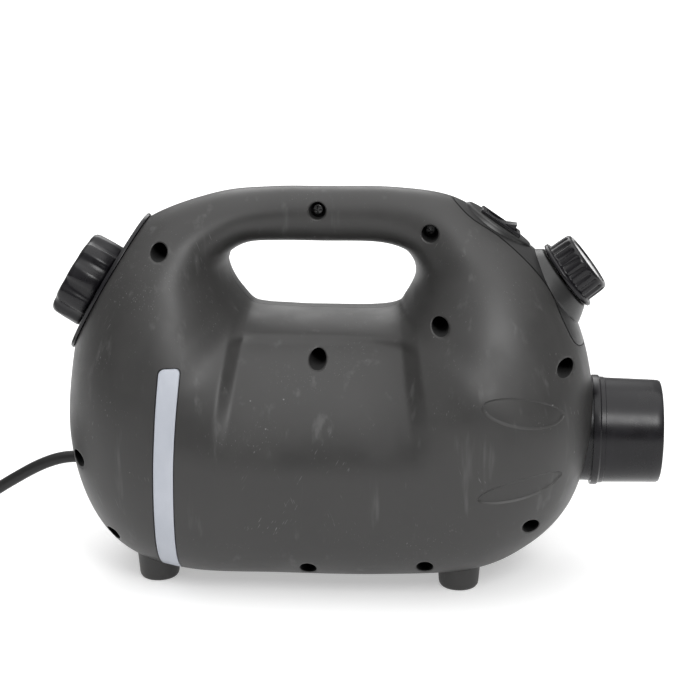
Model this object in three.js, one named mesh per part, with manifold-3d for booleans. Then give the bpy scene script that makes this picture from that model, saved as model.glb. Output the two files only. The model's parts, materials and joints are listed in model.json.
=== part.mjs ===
// A hand-held pet dryer: two moulded half shells with a carry handle, a motor and fan inside,
// a switch and a heat knob on the front panel, an airflow knob at the rear and an outlet tube.
// Millimetres. +X points out of the outlet, +Z is up, -Y is the side with the screws.
// The origin is on the floor, below the middle of the body.
import * as THREE from "three";
import { mergeVertices } from "three/addons/utils/BufferGeometryUtils.js";
import Module from "manifold-3d";

const wasm = await Module();
wasm.setup();

// ---- Driving dimensions ----
const GAP = 0.3; // clearance between touching pieces
const WALL = 3.2; // moulded wall thickness
const AXIS_Z = 90.8; // height of the outlet, motor and fan axis
const BELLY_HALF_WIDTH = 86;
const CORD_RADIUS = 3.8;
const CENTRING = 2.35; // from the drawing's zero to the middle of the overall length

// The shell is lofted around the handle opening. Each station joins a point on the outer outline
// to a point on the opening's edge, both as [x, z], with the shell's half width between them
// and the fullness of the outer half of that arch (2 is an ellipse).
const STATIONS = [
  { outer: [-20, 241], inner: [-22, 208], half: 17, full: 2 },
  { outer: [22, 241], inner: [10, 208], half: 17.5, full: 2 },
  { outer: [57, 235.5], inner: [26.5, 204.5], half: 23, full: 2 },
  { outer: [86, 218], inner: [32.5, 199], half: 33, full: 2 },
  { outer: [110, 200.5], inner: [34.5, 193], half: 42, full: 2.1 },
  { outer: [126, 176], inner: [34, 187], half: 53, full: 2.2 },
  { outer: [138.5, 146], inner: [31.5, 181], half: 64, full: 2.3 },
  { outer: [144.5, 112], inner: [28, 175], half: 74, full: 2.4 },
  { outer: [142.5, 83], inner: [24.5, 170], half: 82, full: 2.4 },
  { outer: [132, 50], inner: [17, 167], half: BELLY_HALF_WIDTH, full: 2.4 },
  { outer: [110, 25.2], inner: [5, 166], half: BELLY_HALF_WIDTH, full: 2.5 },
  { outer: [76, 9.8], inner: [-8, 166], half: BELLY_HALF_WIDTH, full: 2.8 },
  { outer: [20, 5.6], inner: [-21, 166], half: BELLY_HALF_WIDTH, full: 3 },
  { outer: [-45, 4.6], inner: [-34, 166], half: BELLY_HALF_WIDTH, full: 3 },
  { outer: [-103, 4.6], inner: [-46, 166.5], half: BELLY_HALF_WIDTH, full: 2.9 },
  { outer: [-143, 15], inner: [-57, 167], half: 84, full: 2.6 },
  { outer: [-167, 41], inner: [-66, 169], half: 80, full: 2.4 },
  { outer: [-179.5, 81], inner: [-73, 176], half: 75, full: 2.2 },
  { outer: [-178.5, 125], inner: [-78, 184], half: 67, full: 2.1 },
  { outer: [-168.5, 174], inner: [-80.5, 192], half: 54, full: 2 },
  { outer: [-152, 201.5], inner: [-80, 197], half: 44, full: 2 },
  { outer: [-126, 222], inner: [-77, 202], half: 33, full: 2 },
  { outer: [-86, 236.5], inner: [-66, 207], half: 22.5, full: 2 },
  { outer: [-52, 240.5], inner: [-46, 208], half: 18, full: 2 },
];

// The waist: a shallow pressed area on both flanks under the handle opening.
const WAIST = { depth: 4.5, front: 40, rear: -88, blend: 30, top: 0.08, bottom: 0.52 };

// Screws through the near shell: [x, z, y of the recess floor].
const SHELL_SCREWS = {
  rear_handle: [-116, 207, -10],
  handle_middle: [-24, 229, -9],
  handle_front: [43.5, 218, -10],
  waist_front: [51, 169.5, -14],
  waist_middle: [-21, 146.5, -14],
  front_upper: [124, 145.5, -14],
  front_lower: [106.5, 52, -14],
  belly_front: [44.5, 25, -14],
  belly_middle: [-25.5, 21.5, -14],
  rear_end: [-167, 81, -14],
  rear_lower: [-147, 34, -14],
};
const SCREW = { recess: 5, boss: 6.4, hole: 2.1, head: 3.9, headHeight: 2.6, shank: 1.8, reach: 9 };

// The front panel covers what lies outside this curve across the front of the hump.
const PANEL_CURVE = [
  [50, 239], [57, 233.8], [67.5, 226], [86, 214.6], [103, 201.2],
  [116.5, 187], [125.5, 170], [133, 154], [142, 140],
];
const SWITCH = { x: 84.8, z: 220.4, slope: 34, length: 28, width: 15, depth: 24 };
const BEZEL = { length: 47, width: 27, height: 14 };
const FRONT_KNOB = { x: 127.3, z: 189.8, angle: 38, radius: 20, height: 14, skirt: 22.4, dish: 15 };
const REAR_PLATE = { x: -156.2, z: 173.6, angle: 149.5, thickness: 2.4 };
const REAR_KNOB = { radius: 28.6, height: 20.6, lobes: 12, flute: 2.2, stand: 1.2 };

const OUTLET = { root: 31.6, tip: 30.2, bore: 27.8, flange: 34, end: 186, face: 145 };
// The inlaid strip's middle line as [x, z] from top to bottom, leaning back as it goes down.
const STRIP_LINE = [[-104, 146.5], [-104.6, 120], [-105.6, 90], [-107.6, 50], [-110.8, 14]];
const STRIP = { half: 6, depth: 2.2, proud: 0.2, backing: 4.6 };
const FEET = { rear: -122.5, front: 64.6, side: 36, top: 13.6, bottom: 12.2 };
const INTAKE = { slots: 7, pitch: 9, width: 4, half: 20, x: -65 };
const FAN = { rear: -100, front: -62, radius: 58, eye: 24 };
const MOTOR = { rear: -60, front: 34, radius: 40 };
const HEATER = { rear: 58, front: 124, radius: 31.8 };

// ---- Materials ----
const paint = (colour, roughness, metalness = 0) =>
  new THREE.MeshStandardMaterial({ color: colour, roughness, metalness });
const SHELL = () => paint(0x4b4a49, 0.55);
const PANEL_PLASTIC = () => paint(0x363638, 0.42);
const BLACK_PLASTIC = () => paint(0x1d1c1f, 0.35);
const GREY_INLAY = () => paint(0xb9bec8, 0.45);
const STEEL = () => paint(0x8b8b8e, 0.35, 1);
const SILVER = () => paint(0xc9ccd0, 0.25, 1);
const BRASS = () => paint(0xb8954a, 0.35, 1);
const COPPER = () => paint(0xa8622f, 0.4, 1);
const RUBBER = () => paint(0x222222, 0.8);
const MICA = () => paint(0xc8b78e, 0.6);
const BOARD = () => paint(0x2c5a34, 0.5);
const FOAM = () => paint(0x3a3a3a, 0.95);
const CARBON = () => paint(0x2b2b2b, 0.6);
const PALE_PLASTIC = () => paint(0xd8d4c8, 0.5);

// ---- Solids ----
function toSolid(geometry) {
  const bare = geometry.index ? geometry.toNonIndexed() : geometry.clone();
  bare.deleteAttribute("normal");
  bare.deleteAttribute("uv");
  const merged = mergeVertices(bare, 1e-3);
  return new wasm.Manifold(new wasm.Mesh({
    numProp: 3,
    vertProperties: merged.attributes.position.array,
    triVerts: new Uint32Array(merged.index.array),
  }));
}

function toGeometry(solid) {
  const mesh = solid.getMesh();
  const geometry = new THREE.BufferGeometry();
  geometry.setAttribute("position", new THREE.BufferAttribute(mesh.vertProperties, 3));
  geometry.setIndex(new THREE.BufferAttribute(mesh.triVerts, 1));
  const flat = geometry.toNonIndexed();
  flat.computeVertexNormals();
  return flat;
}

const dryer = new THREE.Group();
const model = new THREE.Group();
model.position.x = CENTRING; // puts the middle of the dryer's length over the origin
dryer.add(model);

function piece(name, shape, material) {
  const geometry = shape.isBufferGeometry ? shape : toGeometry(shape);
  const mesh = new THREE.Mesh(geometry, material);
  mesh.name = name;
  model.add(mesh);
  return mesh;
}

// A box between two corners.
function block(low, high) {
  const size = high.map((value, i) => value - low[i]);
  const middle = high.map((value, i) => (value + low[i]) / 2);
  return new THREE.BoxGeometry(...size).translate(...middle);
}

// A turned solid about +Z from its profile of [radius, height] points.
function turned(profile, segments = 24) {
  const points = profile.map(([radius, height]) => new THREE.Vector2(radius, height));
  return new THREE.LatheGeometry(points, segments).rotateX(Math.PI / 2);
}

const rod = (radius, low, high, segments = 16) =>
  turned([[0, low], [radius, low], [radius, high], [0, high]], segments);

const ring = (inner, outer, low, high, segments = 24) =>
  turned([[inner, low], [outer, low], [outer, high], [inner, high], [inner, low]], segments);

// Turns a shape built about +Z so that it points along a direction from a place.
function aim(geometry, place, direction) {
  const up = new THREE.Vector3(0, 0, 1);
  const turn = new THREE.Quaternion().setFromUnitVectors(up, direction.clone().normalize());
  return geometry.applyQuaternion(turn).translate(...place);
}

const alongX = (geometry, z = AXIS_Z) => aim(geometry, [0, 0, z], new THREE.Vector3(1, 0, 0));
const inXZ = (degrees) => {
  const angle = THREE.MathUtils.degToRad(degrees);
  return new THREE.Vector3(Math.cos(angle), 0, Math.sin(angle));
};

// An outline in the XZ plane, extruded right across the dryer.
function across(points, half = 110) {
  const outline = new THREE.Shape(points.map(([x, z]) => new THREE.Vector2(x, z)));
  const geometry = new THREE.ExtrudeGeometry(outline, { depth: 2 * half, bevelEnabled: false });
  return geometry.rotateX(Math.PI / 2).translate(0, half, 0);
}

// ---- The lofted body ----
// A closed Catmull-Rom value around the stations at position t, in stations.
function around(values, t) {
  const count = values.length;
  const i = Math.floor(t);
  const f = t - i;
  const [a, b, c, d] = [-1, 0, 1, 2].map((k) => values[(i + k + count) % count]);
  const slope = (c - a) / 2;
  const bend = a - 2.5 * b + 2 * c - d / 2;
  const twist = (d - a) / 2 + 1.5 * (b - c);
  return b + f * (slope + f * (bend + f * twist));
}

const OUTLINE = {
  outerX: STATIONS.map((s) => s.outer[0]),
  outerZ: STATIONS.map((s) => s.outer[1]),
  innerX: STATIONS.map((s) => s.inner[0]),
  innerZ: STATIONS.map((s) => s.inner[1]),
  half: STATIONS.map((s) => s.half),
  full: STATIONS.map((s) => s.full),
};

const smooth = THREE.MathUtils.smoothstep;

function waistDepth(x, z, s) {
  if (z > 185) return 0;
  const ends = smooth(x, WAIST.rear, WAIST.rear + WAIST.blend)
    * (1 - smooth(x, WAIST.front - WAIST.blend, WAIST.front));
  const rows = smooth(s, 0, WAIST.top) * (1 - smooth(s, WAIST.bottom - 0.3, WAIST.bottom));
  return WAIST.depth * ends * rows;
}

// The point of the loft at station position t and s from 0 (opening) to 1 (outline), set in
// from the outside by an inset, as [x, half width, z].
function loftPoint(t, s, inset) {
  const outerX = around(OUTLINE.outerX, t);
  const outerZ = around(OUTLINE.outerZ, t);
  const innerX = around(OUTLINE.innerX, t);
  const innerZ = around(OUTLINE.innerZ, t);
  const span = Math.hypot(outerX - innerX, outerZ - innerZ);
  const full = s < 0.5 ? 2 : around(OUTLINE.full, t);
  const across01 = (1 - Math.cos(Math.PI * s)) / 2;
  const u = (inset + across01 * (span - 2 * inset)) / span;
  const x = innerX + (outerX - innerX) * u;
  const z = innerZ + (outerZ - innerZ) * u;
  const rise = Math.max(0, 1 - Math.abs(Math.cos(Math.PI * s)) ** full) ** (1 / full);
  const y = (around(OUTLINE.half, t) - inset) * rise - waistDepth(x, z, s);
  return [x, Math.max(0, y), z];
}

// The whole loft as a closed ring: both flanks, from the opening to the outline and back,
// moved across by a shift.
function bodySolid(inset, rows, columns, shift = 0) {
  const lanes = 2 * columns;
  const points = [];
  for (let i = 0; i < rows; i++) {
    for (let j = 0; j < lanes; j++) {
      const near = j <= columns;
      const s = near ? j / columns : (lanes - j) / columns;
      const [x, y, z] = loftPoint((i * STATIONS.length) / rows, s, inset);
      points.push(x, (near ? -y : y) + shift, z);
    }
  }
  const faces = [];
  for (let i = 0; i < rows; i++) {
    for (let j = 0; j < lanes; j++) {
      const a = i * lanes + j;
      const b = i * lanes + ((j + 1) % lanes);
      const c = ((i + 1) % rows) * lanes + ((j + 1) % lanes);
      const d = ((i + 1) % rows) * lanes + j;
      faces.push(a, b, c, a, c, d);
    }
  }
  const solid = new wasm.Manifold(new wasm.Mesh({
    numProp: 3,
    vertProperties: new Float32Array(points),
    triVerts: new Uint32Array(faces),
  }));
  if (solid.volume() > 0) return solid;
  for (let i = 0; i < faces.length; i += 3) {
    [faces[i + 1], faces[i + 2]] = [faces[i + 2], faces[i + 1]];
  }
  return new wasm.Manifold(new wasm.Mesh({
    numProp: 3,
    vertProperties: new Float32Array(points),
    triVerts: new Uint32Array(faces),
  }));
}

const ROWS = 48; // around the opening
const COLUMNS = 9; // across each flank
const body = bodySolid(0, ROWS, COLUMNS);
const grownBody = bodySolid(-GAP, ROWS, COLUMNS);
const hollow = bodySolid(WALL, 32, 5);

// ---- Shared cutters ----
function panelCutter(shift) {
  const curve = new THREE.SplineCurve(PANEL_CURVE.map(([x, z]) => new THREE.Vector2(x, z)));
  const inward = inXZ(218).multiplyScalar(shift);
  const points = curve.getPoints(22).map((p) => [p.x + inward.x, p.y + inward.z]);
  return toSolid(across([...points, [200, 140], [200, 270], [50, 270]]));
}

const rearNormal = inXZ(REAR_PLATE.angle);
// The part of space beyond the rear facet, from one depth to another along its normal.
function rearSlab(from, to) {
  const middle = (from + to) / 2;
  const slab = new THREE.BoxGeometry(160, 200, to - from).translate(0, 0, middle);
  return toSolid(aim(slab, [REAR_PLATE.x, 0, REAR_PLATE.z], rearNormal));
}

const switchNormal = inXZ(90 - SWITCH.slope);
// Places a shape built at the switch, with its length along X and its top at z = 0.
const atSwitch = (geometry) =>
  geometry.rotateY(THREE.MathUtils.degToRad(SWITCH.slope)).translate(SWITCH.x, 0, SWITCH.z);

const knobAxis = inXZ(FRONT_KNOB.angle);
const atFrontKnob = (geometry) => aim(geometry, [FRONT_KNOB.x, 0, FRONT_KNOB.z], knobAxis);
const atRearPlate = (geometry) => aim(geometry, [REAR_PLATE.x, 0, REAR_PLATE.z], rearNormal);

const joinAll = (solids) => solids.reduce((sum, solid) => sum.add(solid));

// ---- Shells ----
// A rod along Y between two values of y.
const crossRod = (radius, x, z, from, to, segments = 10) =>
  toSolid(rod(radius, from, to, segments).rotateX(-Math.PI / 2).translate(x, 0, z));

function nearScrewHoles() {
  return joinAll(Object.values(SHELL_SCREWS).flatMap(([x, z, floor]) => [
    crossRod(SCREW.recess, x, z, -110, floor),
    crossRod(SCREW.hole, x, z, floor - 1, 5, 8),
  ]));
}

function farScrewHoles() {
  return joinAll(Object.values(SHELL_SCREWS).map(([x, z]) =>
    crossRod(SCREW.hole, x, z, -5, SCREW.reach + 2, 8)));
}

function intakeSlots() {
  const slots = [];
  for (let i = 0; i < INTAKE.slots; i++) {
    const x = INTAKE.x + (i - (INTAKE.slots - 1) / 2) * INTAKE.pitch;
    slots.push(toSolid(block([x - INTAKE.width / 2, -INTAKE.half, -5],
      [x + INTAKE.width / 2, INTAKE.half, 14])));
  }
  return joinAll(slots);
}

// The strip's outline, grown by a clearance, through one flank.
function stripPrism(side, clearance) {
  const reach = STRIP.half + clearance;
  const line = STRIP_LINE.map(([x, z]) => [x, z]);
  line[0][1] += clearance;
  line[line.length - 1][1] -= clearance;
  const front = line.map(([x, z]) => [x + reach, z]);
  const rear = line.map(([x, z]) => [x - reach, z]).reverse();
  return toSolid(across([...front, ...rear])).intersect(toSolid(halfSpace(side, 20)));
}

const halfSpace = (side, from) => (side < 0
  ? block([-300, -150, -50], [300, -from, 300])
  : block([-300, from, -50], [300, 150, 300]));

// The layer of one flank between two depths below its surface, measured across the dryer.
const flankLayer = (side, from, to) => bodySolid(0, ROWS, COLUMNS, -side * from)
  .subtract(bodySolid(0, ROWS, COLUMNS, -side * to));

const openings = joinAll([
  panelCutter(GAP),
  rearSlab(0, 60),
  toSolid(alongX(rod(OUTLET.root + 0.5, 110, 180, 40))),
  toSolid(alongX(rod(OUTLET.flange + 0.8, OUTLET.face - 26, OUTLET.face - 15, 32))),
  toSolid(aim(rod(5.6, -20, 20, 16), [-176, 0, 63.5], new THREE.Vector3(1, 0, 0))),
  intakeSlots(),
  toSolid(block([OUTLET.face - 1.2, -110, 20], [170, 110, 165])),
  toSolid(atSwitch(block([-SWITCH.length / 2, -SWITCH.width / 2, -SWITCH.depth - 1],
    [SWITCH.length / 2, SWITCH.width / 2, 30]))),
  toSolid(atFrontKnob(rod(6, -18, 10, 12))),
]);

function shell(side) {
  const radius = side < 0 ? SCREW.boss : 5;
  const bosses = joinAll(Object.values(SHELL_SCREWS).map(([x, z]) =>
    crossRod(radius, x, z, side < 0 ? -100 : GAP, side < 0 ? -GAP : 100)));
  const ledge = flankLayer(side, 0, STRIP.backing).intersect(stripPrism(side, 3));
  const pocket = flankLayer(side, -1, STRIP.depth).intersect(stripPrism(side, GAP));
  return body.subtract(hollow).add(body.intersect(bosses)).add(ledge)
    .intersect(toSolid(halfSpace(side, GAP / 2))).subtract(pocket).subtract(openings)
    .subtract(side < 0 ? nearScrewHoles() : farScrewHoles());
}

function addShells() {
  for (const [name, side] of [["right", -1], ["left", 1]]) {
    piece(`${name}_shell`, shell(side), SHELL());
    const inlay = flankLayer(side, -STRIP.proud, STRIP.depth - GAP);
    piece(`${name}_strip`, inlay.intersect(stripPrism(side, 0)), GREY_INLAY());
  }
}

function addScrews() {
  for (const [name, [x, z, floor]] of Object.entries(SHELL_SCREWS)) {
    const base = floor - GAP;
    const profile = [
      [0, base - SCREW.headHeight], [SCREW.head, base - SCREW.headHeight], [SCREW.head, base],
      [SCREW.shank, base], [SCREW.shank, SCREW.reach], [0, SCREW.reach],
    ];
    const screw = turned(profile, 8).rotateX(-Math.PI / 2).translate(x, 0, z);
    piece(`${name}_screw`, screw, STEEL());
  }
}

function addFeet() {
  for (const [end, x] of [["rear", FEET.rear], ["front", FEET.front]]) {
    for (const [side, y] of [["right", -FEET.side], ["left", FEET.side]]) {
      const profile = [[0, 0], [FEET.bottom - 1.6, 0], [FEET.bottom, 1.6], [FEET.top, 20], [0, 20]];
      const foot = toSolid(turned(profile, 16).translate(x, y, 0)).subtract(grownBody);
      piece(`${end}_${side}_foot`, foot, RUBBER());
    }
  }
}

// ---- Front panel, switch and heat knob ----
function addPanel() {
  const cap = body.subtract(hollow).intersect(panelCutter(0));
  const boss = toSolid(atFrontKnob(turned([[0, -16], [27, -16], [25, -9], [20.5, -3.4], [0, -3.4]], 32)));
  const shaftHole = toSolid(atFrontKnob(rod(5, -60, 30, 16)));
  const switchHole = toSolid(atSwitch(block(
    [-SWITCH.length / 2 + 1.4, -SWITCH.width / 2 + 1, -60],
    [SWITCH.length / 2 - 1.4, SWITCH.width / 2 - 1, 30])));
  piece("front_panel", cap.add(boss.intersect(panelCutter(0))).subtract(shaftHole).subtract(switchHole),
    PANEL_PLASTIC());

  const oval = new THREE.Shape().absellipse(0, 0, BEZEL.length / 2, BEZEL.width / 2, 0, 2 * Math.PI);
  const raised = new THREE.ExtrudeGeometry(oval,
    { depth: BEZEL.height, bevelEnabled: false, curveSegments: 20 }).translate(0, 0, -BEZEL.height);
  piece("switch_bezel", toSolid(atSwitch(raised)).subtract(grownBody).subtract(switchHole),
    PANEL_PLASTIC());
}

function addSwitch() {
  const { length, width, depth } = SWITCH;
  const flange = toSolid(block([-length / 2, -width / 2, GAP], [length / 2, width / 2, 2]));
  const housing = toSolid(block([-length / 2 + 2, -width / 2 + 1.6, -depth],
    [length / 2 - 2, width / 2 - 1.6, 1]));
  const well = toSolid(block([-length / 2 + 3, -width / 2 + 2.6, -depth + 3],
    [length / 2 - 3, width / 2 - 2.6, 5]));
  const frame = piece("rocker_frame", flange.add(housing).subtract(well), BLACK_PLASTIC());
  frame.rotation.y = THREE.MathUtils.degToRad(SWITCH.slope);
  frame.position.set(SWITCH.x, 0, SWITCH.z);

  const reach = length / 2 - 3.4;
  const side = [
    [1 - reach, 3.6], [0, 1.4], [reach - 1, 3.6], [reach - 1, -3], [5, -9], [-5, -9], [1 - reach, -3],
  ];
  const paddle = piece("rocker_paddle", across(side, width / 2 - 3), BLACK_PLASTIC());
  paddle.rotation.y = THREE.MathUtils.degToRad(SWITCH.slope - 11);
  paddle.position.set(SWITCH.x, 0, SWITCH.z);
}

// A knob's grip: a star of flutes or lobes about +Z with rounded edges.
function grip(radius, count, flute, height, perFlute) {
  const outline = new THREE.Shape();
  const steps = count * perFlute;
  for (let i = 0; i < steps; i++) {
    const angle = (2 * Math.PI * i) / steps;
    const wave = 0.5 - 0.5 * Math.cos(count * angle);
    const r = radius - 1.2 - flute * (1 - wave);
    outline[i ? "lineTo" : "moveTo"](r * Math.cos(angle), r * Math.sin(angle));
  }
  const bevel = { bevelThickness: 1.5, bevelSize: 1.2, bevelSegments: 1 };
  return new THREE.ExtrudeGeometry(outline, { depth: height - 3, ...bevel }).translate(0, 0, 1.5);
}

function addFrontKnob() {
  const { radius, height, skirt } = FRONT_KNOB;
  const flange = toSolid(rod(skirt, -2.4, 0.4, 32));
  const socket = toSolid(rod(3.3, -5, 8, 12));
  const dish = toSolid(rod(FRONT_KNOB.dish, height - 3.8, height + 5, 32));
  const knob = toSolid(grip(radius, 18, 0.9, height, 3)).add(flange).subtract(socket).subtract(dish);
  piece("heat_knob", toSolid(atFrontKnob(toGeometry(knob))), BLACK_PLASTIC());
  piece("heat_knob_cap", atFrontKnob(rod(FRONT_KNOB.dish - GAP, height - 3.5, height - 2.5, 32)), SILVER());
  piece("heat_control_shaft", atFrontKnob(rod(3, -22, 7.6, 12)), BRASS());
  piece("heat_control", atFrontKnob(ring(3.3, 11, -30, -22.5, 20)), STEEL());
}

// ---- Rear plate and airflow knob ----
function addRearPlate() {
  const plate = bodySolid(-0.8, ROWS, COLUMNS).intersect(rearSlab(GAP, GAP + REAR_PLATE.thickness));
  piece("rear_plate", plate.subtract(toSolid(atRearPlate(rod(5, -20, 20, 16)))), BLACK_PLASTIC());
  const base = GAP + REAR_PLATE.thickness + REAR_KNOB.stand;
  const socket = toSolid(rod(3.3, -5, 8, 12));
  const { radius, lobes, flute, height } = REAR_KNOB;
  const knob = toSolid(grip(radius, lobes, flute, height, 6)).subtract(socket);
  const placed = toGeometry(knob).translate(0, 0, base);
  piece("airflow_knob", toSolid(atRearPlate(placed)), BLACK_PLASTIC());
  piece("airflow_control_shaft", atRearPlate(rod(3, -10, base + 7.6, 12)), BRASS());
  piece("airflow_control", atRearPlate(ring(3.3, 12, -20, -5, 20)), STEEL());
}

// ---- Outlet ----
function addOutlet() {
  const { root, tip, bore, flange, end, face } = OUTLET;
  const profile = [
    [bore, face - 18], [flange + 0.4, face - 18], [flange + 0.4, face - 15.5], [root, face - 15.5],
    [root, face - 0.6], [flange, face - 0.6], [flange, face + 3.4], [root, face + 3.4],
    [tip, end - 6], [tip + 0.8, end - 3], [tip, end], [bore + 0.6, end], [bore, end - 3],
    [bore, face - 18],
  ];
  piece("outlet_tube", alongX(turned(profile, 28)), BLACK_PLASTIC());
}

// ---- Motor, fan and heater ----
function addFan() {
  const { rear, front, radius, eye } = FAN;
  const can = [
    [eye, rear], [radius, rear], [radius, front], [radius - 2, front], [radius - 2, rear + 2],
    [eye, rear + 2], [eye, rear],
  ];
  piece("fan_housing", alongX(turned(can)), STEEL());
  const hub = toSolid(turned([[4.3, rear + 6], [10, rear + 6], [14, rear + 24], [50, rear + 26],
    [50, rear + 28], [4.3, rear + 28], [4.3, rear + 6]]));
  const blade = new THREE.BoxGeometry(38, 1.6, 19).translate(30, 0, rear + 17);
  const blades = [];
  for (let i = 0; i < 9; i++) {
    blades.push(toSolid(blade.clone().rotateZ((2 * Math.PI * i) / 9)));
  }
  piece("impeller", toSolid(alongX(toGeometry(hub.add(joinAll(blades))))), STEEL());
}

function addMotor() {
  const { rear, front, radius } = MOTOR;
  const can = [
    [6, rear], [radius, rear], [radius, front], [12, front], [12, front - 2], [radius - 2, front - 2],
    [radius - 2, rear + 2], [6, rear + 2], [6, rear],
  ];
  piece("motor_housing", alongX(turned(can)), STEEL());
  piece("stator", alongX(ring(27, radius - 2.5, rear + 20, front - 26)), COPPER());
  const armature = [
    [0, -96], [4, -96], [4, rear + 14], [26, rear + 18], [26, front - 24], [16, front - 22],
    [16, front - 8], [5, front - 6], [5, front + 6], [0, front + 6],
  ];
  piece("armature", alongX(turned(armature, 16)), COPPER());
  piece("front_bearing", alongX(ring(5.3, 11.7, front - 1.7, front + 4, 20)), BRASS());
  for (const [name, low, high] of [["upper", 16.5, 36], ["lower", -36, -16.5]]) {
    const brush = block([front - 18, -4, AXIS_Z + low], [front - 11, 4, AXIS_Z + high]);
    piece(`${name}_brush`, brush, CARBON());
  }
  piece("rear_motor_mount", alongX(ring(FAN.radius + GAP, 68, -86, -76)), RUBBER());
  piece("front_motor_mount", alongX(ring(radius + GAP, 67, 12, 22)), RUBBER());
}

function addHeater() {
  const { rear, front, radius } = HEATER;
  piece("heater_tube", alongX(ring(radius - 1, radius, rear, front)), STEEL());
  const flat = toSolid(block([rear + 4, -24.4, -0.8], [front - 4, 24.4, 0.8]));
  const upright = toSolid(block([rear + 4, -0.8, -24.4], [front - 4, 0.8, 24.4]));
  piece("heater_frame", toGeometry(flat.add(upright)).translate(0, 0, AXIS_Z), MICA());

  class Helix extends THREE.Curve {
    getPoint(t, target = new THREE.Vector3()) {
      const angle = 2 * Math.PI * 5 * t;
      return target.set(rear + 12 + 42 * t, 27.5 * Math.cos(angle), AXIS_Z + 27.5 * Math.sin(angle));
    }
  }
  const section = new THREE.Shape().absarc(0, 0, 1, 0, 2 * Math.PI);
  piece("heater_coil", new THREE.ExtrudeGeometry(section,
    { steps: 44, curveSegments: 3, extrudePath: new Helix() }), STEEL());
  piece("thermal_cutout", rod(4, 0, 6, 16).translate(rear + 20, 12, AXIS_Z + 1.4), STEEL());
}

// ---- Electronics ----
function addElectronics() {
  piece("control_board", block([46, -26, 148], [104, 26, 149.6]), BOARD());
  const fins = [block([60, -16, 144.5], [90, 16, 147.6])];
  for (let i = 0; i < 5; i++) {
    fins.push(block([60, -16 + i * 7.6, 132], [90, -14.4 + i * 7.6, 145]));
  }
  piece("heatsink", joinAll(fins.map(toSolid)), STEEL());
  piece("terminal_block", block([-160, -15, 57], [-145, 15, 70]), PALE_PLASTIC());
  piece("foam_filter", block([-98, -26, 17.8], [-36, 26, 22.4]), FOAM());
}

// ---- Mains cord ----
// A coil of four layers of two turns, lying on the floor behind the rear end of the dryer.
const COIL = { x: -340, y: 48, inner: 34.2, outer: 49.8, height: 30.4, lead: 27.6 };
const BUSH_LENGTH = 10.6;
const CORD_EXIT = [-177.2, 0, 63.5];
const CORD_ROUTE = [
  CORD_EXIT, [-190, 0, 63], [-210, 0, 55], [-233, 0, 41], [-258, 0.5, 23], [-276, 1, 11.5],
  [-292, 1.6, 5.4], [-304, 2, 4.2], [COIL.x + COIL.lead, COIL.y - 45.8, 4.2],
];
const TAIL_ROUTE = [
  [COIL.x - 45.8, COIL.y + COIL.lead, 26.8], [COIL.x - 44.5, COIL.y + 46, 24.5],
  [COIL.x - 37, COIL.y + 62, 21], [COIL.x - 23, COIL.y + 72, 18], [COIL.x - 10, COIL.y + 74, 17.2],
];
const PLUG = { radius: 17, length: 34, pin: 2.4, reach: 19, spacing: 9.5 };

function cordTube(route, steps) {
  const points = route.map((point) => new THREE.Vector3(...point));
  const path = new THREE.CatmullRomCurve3(points, false, "centripetal");
  const section = new THREE.Shape().absarc(0, 0, CORD_RADIUS, 0, 2 * Math.PI);
  return new THREE.ExtrudeGeometry(section, { steps, curveSegments: 4, extrudePath: path });
}

function addCord() {
  const bush = [[0, 0], [6.4, 0], [6.4, 2.4], [5.2, 2.4], [5.2, BUSH_LENGTH], [0, BUSH_LENGTH]];
  const toRear = new THREE.Vector3(-1, 0, 0);
  const bushBase = [CORD_EXIT[0] + GAP + BUSH_LENGTH, 0, CORD_EXIT[2]];
  piece("cord_bush", aim(turned(bush, 16), bushBase, toRear), RUBBER());
  piece("mains_cord", cordTube(CORD_ROUTE, 16), RUBBER());
  piece("cord_coil", ring(COIL.inner, COIL.outer, 0.1, COIL.height).translate(COIL.x, COIL.y, 0),
    RUBBER());
  piece("cord_tail", cordTube(TAIL_ROUTE, 6), RUBBER());

  const last = new THREE.Vector3(...TAIL_ROUTE[TAIL_ROUTE.length - 1]);
  const before = new THREE.Vector3(...TAIL_ROUTE[TAIL_ROUTE.length - 2]);
  const heading = last.clone().sub(before).setZ(0).normalize();
  const base = last.clone().addScaledVector(heading, GAP + 0.5).setZ(PLUG.radius + 0.1);
  const profile = [[0, 0], [6, 0], [8, 10], [PLUG.radius, 16], [PLUG.radius, PLUG.length], [0, PLUG.length]];
  piece("plug_body", aim(turned(profile, 24), base.toArray(), heading), BLACK_PLASTIC());
  for (const [name, offset] of [["near", -PLUG.spacing], ["far", PLUG.spacing]]) {
    const pin = rod(PLUG.pin, PLUG.length + GAP, PLUG.length + PLUG.reach, 12).translate(offset, 0, 0);
    piece(`plug_pin_${name}`, aim(pin, base.toArray(), heading), STEEL());
  }
}

addShells();
addScrews();
addFeet();
addPanel();
addSwitch();
addFrontKnob();
addRearPlate();
addOutlet();
addFan();
addMotor();
addHeater();
addElectronics();
addCord();

export default dryer;
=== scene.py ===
# %% [markdown]
# # A hand-carried pet dryer
# The real dryer is two moulded half shells with a carry handle, screwed together from one side.
# A switch and a heat knob sit on a darker panel at the front, an airflow knob on a plate at the
# rear, and a black tube blows the air out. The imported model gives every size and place. This
# lesson rebuilds its visible skins finely and gives each piece the finish of the real one.

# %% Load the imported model
import json
import math

import bmesh
import bpy
import numpy as np
from mathutils import Matrix, Vector
from mathutils.bvhtree import BVHTree


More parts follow.
